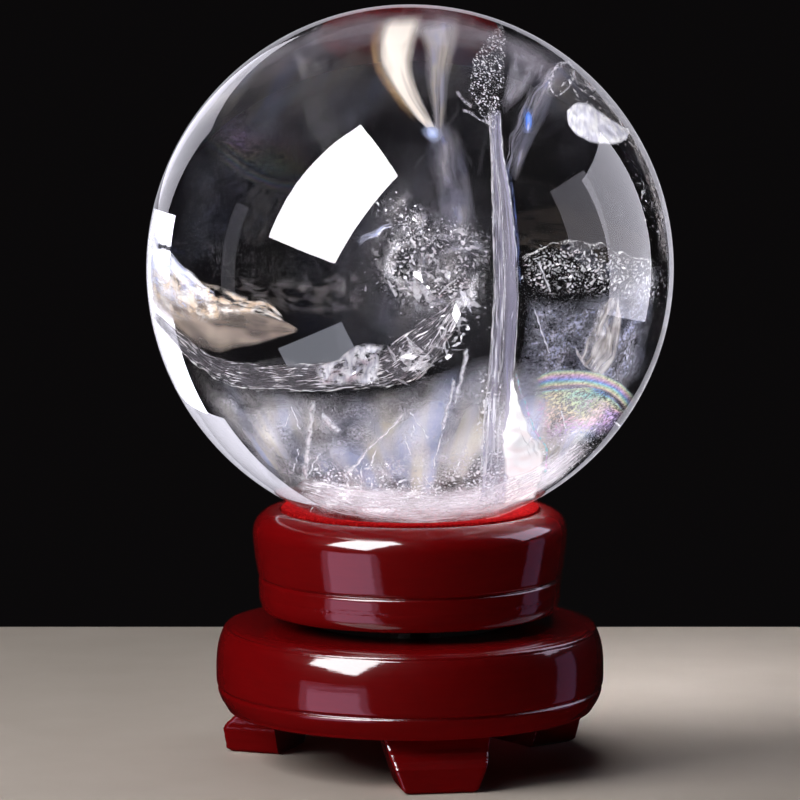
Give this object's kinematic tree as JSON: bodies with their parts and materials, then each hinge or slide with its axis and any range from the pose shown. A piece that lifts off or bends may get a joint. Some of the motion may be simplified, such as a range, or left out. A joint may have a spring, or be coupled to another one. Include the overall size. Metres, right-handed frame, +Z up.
{
  "type": "crystal ball",
  "caption": "Clear rock crystal sphere on a two-tier turned wooden stand in dark red lacquer, whose felt-lined upper drum spins on a bearing above a disc with stub feet.",
  "frame": {"origin": "on the floor under the middle of the ball, which is the bottom centre of the bounding box and lies on the turntable's axis", "axes": "+Z up along the turntable's axis and the long side of the object; -Y towards the front foot's side"},
  "size_m": [0.1, 0.1, 0.1444],
  "materials": {
    "rock_crystal": "polished, clear, with natural veils and fractures inside",
    "red_felt": "short red felt nap",
    "drum_lacquer": "dark red high-gloss lacquer over turned wood",
    "base_lacquer": "dark red high-gloss lacquer over turned wood",
    "foot_lacquer": "dark red high-gloss lacquer over carved wood",
    "bearing_steel": "ground bearing steel",
    "zinc_steel": "zinc plated",
    "nylon_cage": "natural nylon"
  },
  "bodies": {
    "base": {"base_disc": "base_lacquer", "foot_front": "foot_lacquer", "foot_right": "foot_lacquer", "foot_left": "foot_lacquer", "foot_screw_front": "zinc_steel", "foot_screw_right": "zinc_steel", "foot_screw_left": "zinc_steel", "bearing_outer_race": "bearing_steel", "bearing_shield_top": "bearing_steel", "bearing_shield_bottom": "bearing_steel"},
    "turntable": {"turntable_drum": "drum_lacquer", "felt_lining": "red_felt", "pivot_screw": "zinc_steel", "spacer_washer": "zinc_steel", "lower_washer": "zinc_steel", "bearing_inner_race": "bearing_steel"},
    "bearing_cage": {"bearing_cage": "nylon_cage", "bearing_ball_1": "bearing_steel", "bearing_ball_2": "bearing_steel", "bearing_ball_3": "bearing_steel", "bearing_ball_4": "bearing_steel", "bearing_ball_5": "bearing_steel", "bearing_ball_6": "bearing_steel", "bearing_ball_7": "bearing_steel"},
    "ball": {"crystal_ball": "rock_crystal"}
  },
  "joints": [
    {"name": "turntable_spin", "type": "hinge", "parent": "base", "child": "turntable", "pos_m": [0, 0, 0.0231], "axis": [0, 0, 1], "continuous": true},
    {"name": "cage_spin", "type": "hinge", "parent": "base", "child": "bearing_cage", "pos_m": [0, 0, 0.0231], "axis": [0, 0, 1], "continuous": true},
    {"name": "ball_lift", "type": "slide", "parent": "turntable", "child": "ball", "axis": [0, 0, 1], "range_m": [0, 0.06]}
  ],
  "couplings": [
    {"joint": "cage_spin", "follows": "turntable_spin", "ratio": 0.3677}
  ]
}
